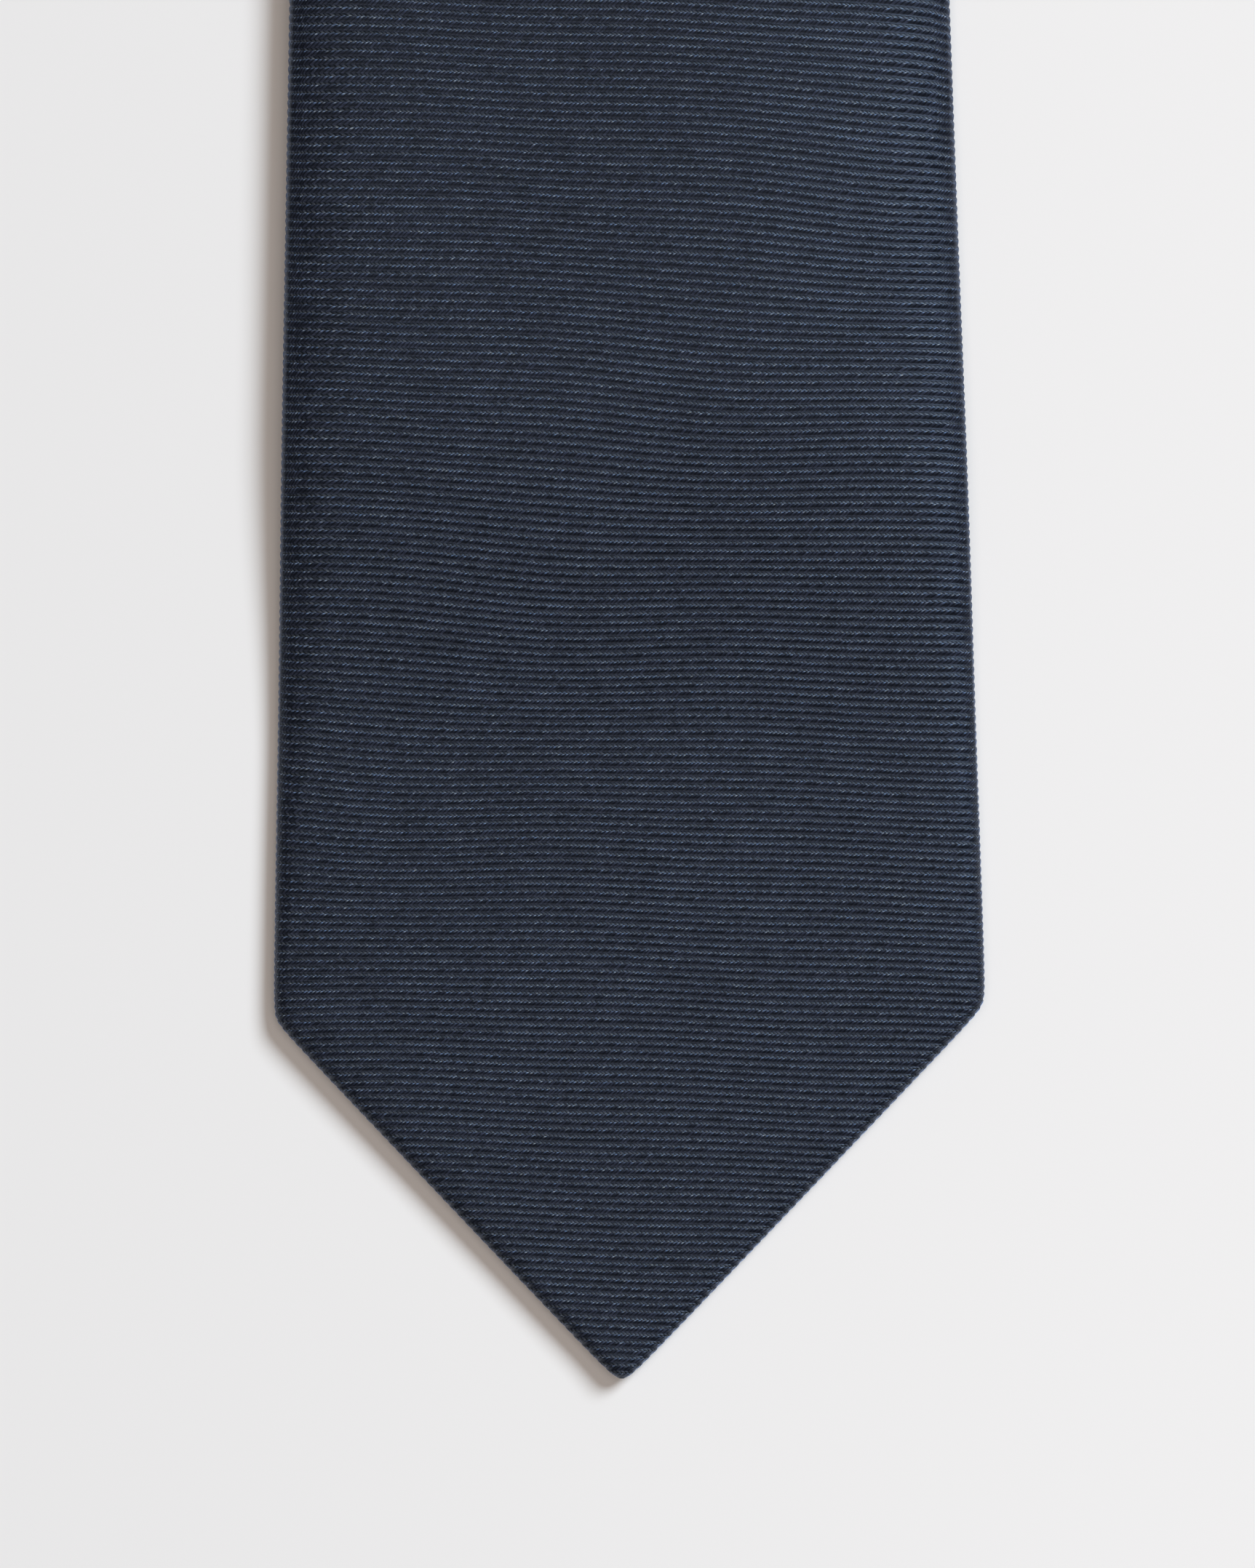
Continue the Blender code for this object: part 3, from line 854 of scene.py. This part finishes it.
def twisted_thread():
    """A two-ply navy sewing thread, its twist showing as slanted lines."""
    thread = Surface("navy_thread", roughness=0.42, specular=0.5)
    split = thread.node("ShaderNodeSeparateXYZ")
    thread.wire(thread.node("ShaderNodeTexCoord").outputs["Object"], split.inputs[0])
    x, y, z = split.outputs
    slant = thread.calc("ADD", thread.calc("ADD", x, y), z)
    share = thread.calc("MULTIPLY_ADD", thread.ripple(slant, 0.33 * MM), 0.5, 0.5)
    thread.colour(thread.blend(share, (0.010, 0.014, 0.028), (0.050, 0.065, 0.110)))
    thread.bump(thread.calc("MULTIPLY", share, 0.03 * MM))
    return thread.material


def finish_with(piece, material):
    """Gives a piece its material."""
    piece.data.materials.clear()
    piece.data.materials.append(material)


# ---------------------------------------------------------------- the pieces
SILK = corded_silk()
SATIN = satin_lining()
WOOL = brushed_wool()
LABEL = woven_label()
RIBBON = satin_ribbon()
THREAD = twisted_thread()


def bend_at_neck(piece):
    """Bakes the piece's transform into its mesh, where it lies round the neck fold from the layer
    below to the layer above.
    """
    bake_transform(piece)


def ride_along(piece, low):
    """A length that starts at low rides the blade, is baked in place at the neck's bend, or rides
    the tail.
    """
    if low < FOLD_START:
        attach(piece, "front_blade")
    elif low < FOLD_END:
        bend_at_neck(piece)
    else:
        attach(piece, "tail")


def declare(low, high, half):
    """Works out the widths of a sheet cut from low to high, half(s) wide to each side, and does
    nothing more with them.
    """
    widths = 2 * half(np.linspace(low, high, 400))


def half_cut(s):
    """Half the width that the outer cloth was cut to at s."""
    return section_point("inner", 1.0, s)[4]


def silk_length(name, start, end, weave, node, rests_on):
    """A length of silk between two ends. An end is its place, its cut and a margin for it."""
    low, low_cut, low_margin = start
    high, high_cut, high_margin = end
    piece = wrapped_cloth(name, low - low_margin, high + high_margin, *weave)
    if low_cut is not None:
        cut(piece, low, low_cut, keep_low=False)
    if high_cut is not None:
        cut(piece, high, high_cut, keep_low=True)
    lay_down(piece)
    finish_with(piece, SILK)
    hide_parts(node)
    ride_along(piece, low)
    declare(low, high, half_cut)


def outer_cloth():
    """The silk, in lengths that end at its two bias seams and where the neck bends."""
    tip = (0.0, None, -TIP_SHORT)
    front_seam = (FRONT_SEAM, ON_BIAS, NECK_HALF + BIAS_MARGIN)
    fold_start = (FOLD_START, ON_FOLD, SKEW_MARGIN)
    fold_end = (FOLD_END, ON_FOLD, SKEW_MARGIN)
    rear_seam = (REAR_SEAM, ON_BIAS, NECK_HALF + BIAS_MARGIN)
    tail_tip = (TIE_LENGTH, None, -TIP_SHORT)
    blade_weave = (BLADE_RIB_SLOPE, FINE_UNTIL, 2)
    neck_weave = (NECK_RIB_SLOPE,)
    tail_weave = (TAIL_RIB_SLOPE,)
    blade_core = "blade_interlining"
    tail_core = "tail_interlining"
    lengths = (
        ("front_cloth", tip, front_seam, blade_weave, "front_shell", blade_core),
        ("neck_cloth", front_seam, fold_start, neck_weave, "neck_shell_front", blade_core),
        ("neck_cloth_bend", fold_start, fold_end, neck_weave, "neck_shell_bend", "bend_interlining"),
        ("neck_cloth_rear", fold_end, rear_seam, neck_weave, "neck_shell_rear", tail_core),
        ("tail_cloth", rear_seam, tail_tip, tail_weave, "tail_shell", tail_core),
    )
    for length in lengths:
        silk_length(*length)


def inset_edge(inset):
    """A half width that stays inset behind the tie's edge, and further along the tips."""

    def edge(s):
        return np.maximum(half_width(s) - inset * edge_slant(s), 0.3 * MM)

    return edge


def interlining():
    """The brushed wool strip, in three lengths, the middle one laid round the neck's bend."""
    edge = inset_edge(WOOL_INSET)

    def height(u, s):
        nap = 0.05 * MM * np.sin(u * 2100 + 3 * np.sin(s * 530))
        return WOOL_LEVEL + nap

    def length(name, low, high, rows, node, rests_on):
        first = low if low < FOLD_START else low - SKEW_MARGIN
        last = high if high > FOLD_END else high + SKEW_MARGIN
        piece = flat_cloth(name, first, last, (13, rows), height, edge)
        if low >= FOLD_START:
            cut(piece, low, ON_FOLD, keep_low=False)
        if high <= FOLD_END:
            cut(piece, high, ON_FOLD, keep_low=True)
        thicken(piece, WOOL_THICK, round_edges=False)
        lay_down(piece)
        finish_with(piece, WOOL)
        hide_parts(node)
        ride_along(piece, low)
        declare(low, high, edge)

    before = FOLD_START - CORE_GAP
    after = FOLD_END + CORE_GAP
    end = TIE_LENGTH - RAW_END
    length("blade_interlining", RAW_END, before, 246, "interlining_front", "front_cloth")
    length("bend_interlining", FOLD_START, FOLD_END, 60, "interlining_bend", "neck_cloth_bend")
    length("tail_interlining", after, end, 240, "interlining_tail", "tail_cloth")


def tipping(name, low, high, node, body):
    """The satin that lines a tip, a little loose over the interlining."""

    def height(u, s):
        billow = wave(0.10 * MM, u, s, 17 * MM, 41 * MM)
        fine = wave(0.03 * MM, u, s, 6 * MM, -23 * MM)
        return LINING_LEVEL + billow + fine

    edge = inset_edge(LINING_INSET)
    piece = flat_cloth(name, low, high, (61, 161), height, edge)
    lay_down(piece)
    finish_with(piece, SATIN)
    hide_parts(node)
    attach(piece, body)
    declare(low, high, edge)


def tippings():
    """The satin linings of the two tips."""
    start = LINING_START
    tail_low = TIE_LENGTH - TAIL_LINING_END
    tail_high = TIE_LENGTH - start
    tipping("blade_lining", start, BLADE_LINING_END, "front_tipping", "front_blade")
    tipping("tail_lining", tail_low, tail_high, "tail_tipping", "tail")


def keeper_loop():
    """The loop of silk across the blade's back, standing off it a little in the middle."""

    def height(u, s):
        bow = 0.15 * MM * np.cos(pi * u / (2 * KEEPER_HALF_SPAN)) ** 2
        return -(HALF_THICK + KEEPER_OFF) - bow

    low = KEEPER_S - KEEPER_WIDTH / 2
    high = KEEPER_S + KEEPER_WIDTH / 2
    piece = flat_cloth("silk_keeper", low, high, (121, 41), height, KEEPER_HALF_SPAN)
    thicken(piece, KEEPER_THICK)
    lay_down(piece)
    finish_with(piece, SILK)
    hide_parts("keeper_loop")
    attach(piece, "front_blade")


def label_on_blade():
    """The blank woven label across the blade's back."""

    def height(u, s):
        return -(HALF_THICK + LABEL_OFF) + 0.03 * MM * np.sin(u * 420) * np.sin(s * 610)

    low = LABEL_S - LABEL_LENGTH / 2
    high = LABEL_S + LABEL_LENGTH / 2
    piece = flat_cloth("blank_label", low, high, (81, 45), height, LABEL_HALF_SPAN)
    thicken(piece, LABEL_THICK)
    lay_down(piece)
    finish_with(piece, LABEL)
    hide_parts("brand_label")
    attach(piece, "front_blade")


def care_ribbon():
    """The blank ribbon on the tail's back, sewn at one end, its free end curling up."""

    def height(u, s):
        free = (s - CARE_LABEL_S) / CARE_LABEL_LENGTH
        curl = RIBBON_CURL * np.clip(free, 0, 1) ** 2.2
        cup = RIBBON_CUP * (u / CARE_LABEL_HALF) ** 2 * free
        return -(HALF_THICK + RIBBON_OFF) - curl - cup

    low = CARE_LABEL_S + RIBBON_CLEAR
    high = CARE_LABEL_S + CARE_LABEL_LENGTH
    piece = flat_cloth("care_ribbon", low, high, (41, 65), height, CARE_LABEL_HALF)
    thicken(piece, RIBBON_THICK)
    lay_down(piece)
    finish_with(piece, RIBBON)
    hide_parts("care_label")
    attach(piece, "care_label")


def slip_stitch():
    """One thread inside the back seam, in three lengths, the middle one laid round the neck's bend.

    It runs inside one folded edge and crosses to the other.
    """
    lengths = (
        ("blade_slip_stitch", FRONT_OPEN + SEAM_STARTS, FOLD_START, "slip_stitch_front"),
        ("bend_slip_stitch", FOLD_START, FOLD_END, "slip_stitch_bend"),
        ("tail_slip_stitch", FOLD_END, TIE_LENGTH - TAIL_OPEN - SEAM_STARTS, "slip_stitch_tail"),
    )
    for name, low, high, node in lengths:
        s = np.linspace(low, high, round((high - low) / THREAD_STEP))
        u = 0.85 * MM * np.clip(1.8 * np.sin(2 * pi * s / STITCH_PITCH), -1, 1)
        n = -(HALF_THICK - 0.28 * MM) - back_swell(u, s)
        piece = tube(name, lay(u, s, n), SLIP_THREAD)
        finish_with(piece, THREAD)
        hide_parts(node)
        ride_along(piece, low)


def bar_tack(name, at, node, body):
    """A bar of close satin stitches over the end of the back seam."""
    turns = 26
    steps = 8
    t = np.linspace(0, 1, turns * steps + 1)
    phase = t * turns * 2 * pi
    u = TACK_LENGTH * (t - 0.5)
    s = at + TACK_WIDTH / 2 * np.sin(phase)
    n = -(HALF_THICK + 0.12 * MM + 0.22 * MM * np.abs(np.cos(phase))) - back_swell(u, s)
    piece = tube(name, lay(u, s, n), TACK_THREAD)
    finish_with(piece, THREAD)
    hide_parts(node)
    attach(piece, body)


def running_stitch(name, ends, depth, node, body):
    """A row of small stitches between two (u, s) points, in and out through a surface."""
    (u0, s0), (u1, s1) = ends
    length = sqrt((u1 - u0) ** 2 + (s1 - s0) ** 2)
    count = max(2, round(length / STITCH_LENGTH))
    t = np.linspace(0, 1, count * 10 + 1)
    n = -(HALF_THICK + depth) + 0.22 * MM * np.cos(t * count * 2 * pi)
    places = lay(u0 + (u1 - u0) * t, s0 + (s1 - s0) * t, n)
    piece = tube(name, places, SEWING_THREAD)
    finish_with(piece, THREAD)
    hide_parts(node)
    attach(piece, body)


def stitches():
    """The bar tacks and the rows of stitches that hold the loop and the labels."""
    bar_tack("blade_tack", FRONT_OPEN, "front_bar_tack", "front_blade")
    bar_tack("tail_tack", TIE_LENGTH - TAIL_OPEN, "tail_bar_tack", "tail")
    rows = (
        ("keeper_stitches", "keeper_stitch", KEEPER_HALF_SPAN, KEEPER_S, KEEPER_WIDTH, 0.75 * MM),
        ("label_stitches", "brand_label_stitch", LABEL_HALF_SPAN, LABEL_S, LABEL_LENGTH, 0.45 * MM),
    )
    for side, word in ((-1, "left"), (1, "right")):
        for name, node, half_span, middle, length, depth in rows:
            u = side * (half_span - STITCH_INSET)
            reach = length / 2 - STITCH_INSET
            ends = ((u, middle - reach), (u, middle + reach))
            running_stitch(f"{name}_{word}", ends, depth, f"{node}_{word}", "front_blade")
    sewn = CARE_LABEL_S - RIBBON_SEWN
    ends = ((-CARE_LABEL_HALF, sewn), (CARE_LABEL_HALF, sewn))
    running_stitch("ribbon_stitches", ends, 0.45 * MM, "care_label_stitch", "tail")


def build_pieces():
    """Every piece that stands for a CAD part."""
    outer_cloth()
    interlining()
    tippings()
    keeper_loop()
    label_on_blade()
    care_ribbon()
    slip_stitch()
    stitches()


# ---------------------------------------------------------------- the studio
FRAME_LONG_SIDE = 176.7 * MM
SENSOR = 36.0
LENS = 100.0
VIEW_S = 67.0 * MM
VIEW_TILT = radians(0.54)

TABLE_HALF = 30.0
TABLE_BELOW = 0.1 * MM
TABLE_LIGHT_FADE = 120 * MM
# The table's two colours are painted light: darker to the left of the blade, paler to the right of
# it.
TABLE_LEFT_PAINTED_SHADE = (0.822, 0.822, 0.822)
TABLE_RIGHT_PAINTED_LIGHT = (0.905, 0.905, 0.905)

SKY_SEEN = (0.82, 0.82, 0.82, 1.0)
SKY_FELT = (1.0, 0.95, 0.90, 1.0)
SKY_STRENGTH = 0.07


def soft_light(name, toward, elevation, spread, strength, colour):
    """An even light from far away, as wide as spread across the sky."""
    lamp = bpy.data.lights.new(name, "SUN")
    lamp.angle = spread
    lamp.energy = strength
    lamp.color = colour
    holder = bpy.data.objects.new(name, lamp)
    level = cos(elevation)
    way = Vector((level * sin(toward), level * cos(toward), sin(elevation)))
    holder.location = way
    holder.rotation_euler = way.to_track_quat("Z", "Y").to_euler()
    bpy.context.scene.collection.objects.link(holder)


def table_top(target):
    """The pale table, with painted light: its colour is a little paler to the right of the blade."""
    far = TABLE_HALF
    corners = [(-far, -far, 0), (far, -far, 0), (far, far, 0), (-far, far, 0)]
    mesh = bpy.data.meshes.new("table")
    mesh.from_pydata(corners, [], [(0, 1, 2, 3)])
    table = bpy.data.objects.new("table", mesh)
    table.location = (0, 0, -TABLE_BELOW)
    bpy.context.scene.collection.objects.link(table)
    table_look = Surface("table_painted_light", roughness=0.8, specular=0.1)
    split = table_look.node("ShaderNodeSeparateXYZ")
    table_look.wire(table_look.node("ShaderNodeTexCoord").outputs["Object"], split.inputs[0])
    # Painted light: the colour runs from the darker left one to the paler right one across the
    # blade.
    side = table_look.span(split.outputs[0], target.x - TABLE_LIGHT_FADE, target.x + TABLE_LIGHT_FADE)
    table_look.colour(table_look.blend(side, TABLE_LEFT_PAINTED_SHADE, TABLE_RIGHT_PAINTED_LIGHT))
    mesh.materials.append(table_look.material)


def sky():
    """A pale backdrop for the camera that lights the tie only faintly."""
    world = bpy.data.worlds.new("studio")
    world.use_nodes = True
    tree = world.node_tree
    seen = tree.nodes["Background"]
    seen.inputs["Color"].default_value = SKY_SEEN
    felt = tree.nodes.new("ShaderNodeBackground")
    felt.inputs["Color"].default_value = SKY_FELT
    felt.inputs["Strength"].default_value = SKY_STRENGTH
    path = tree.nodes.new("ShaderNodeLightPath")
    mix = tree.nodes.new("ShaderNodeMixShader")
    tree.links.new(path.outputs["Is Camera Ray"], mix.inputs[0])
    tree.links.new(felt.outputs[0], mix.inputs[1])
    tree.links.new(seen.outputs[0], mix.inputs[2])
    tree.links.new(mix.outputs[0], tree.nodes["World Output"].inputs[0])
    bpy.context.scene.world = world


def camera_above(target):
    """The photograph's view, from straight above the blade."""
    optics = bpy.data.cameras.new("camera")
    optics.lens = LENS
    optics.sensor_width = SENSOR
    camera = bpy.data.objects.new("camera", optics)
    distance = FRAME_LONG_SIDE * LENS / SENSOR
    camera.location = target + Vector((0, 0, HALF_THICK + distance))
    camera.rotation_euler = (0, 0, -VIEW_TILT)
    bpy.context.scene.collection.objects.link(camera)
    bpy.context.scene.camera = camera
    bpy.context.scene.view_settings.view_transform = "Standard"


def studio():
    """The table, a soft key light from the upper right and a warm one overhead."""
    target = Vector((FOLD_LINE.x, FOLD_LINE.y - FOLD_START + VIEW_S, 0.0))
    table_top(target)
    soft_light("key", radians(45), radians(40), radians(23), 3.0, (0.925, 0.998, 1.06))
    soft_light("overhead", 0.0, radians(90), radians(56), 1.05, (1.0, 0.86, 0.77))
    sky()
    camera_above(target)


build_pieces()
studio()
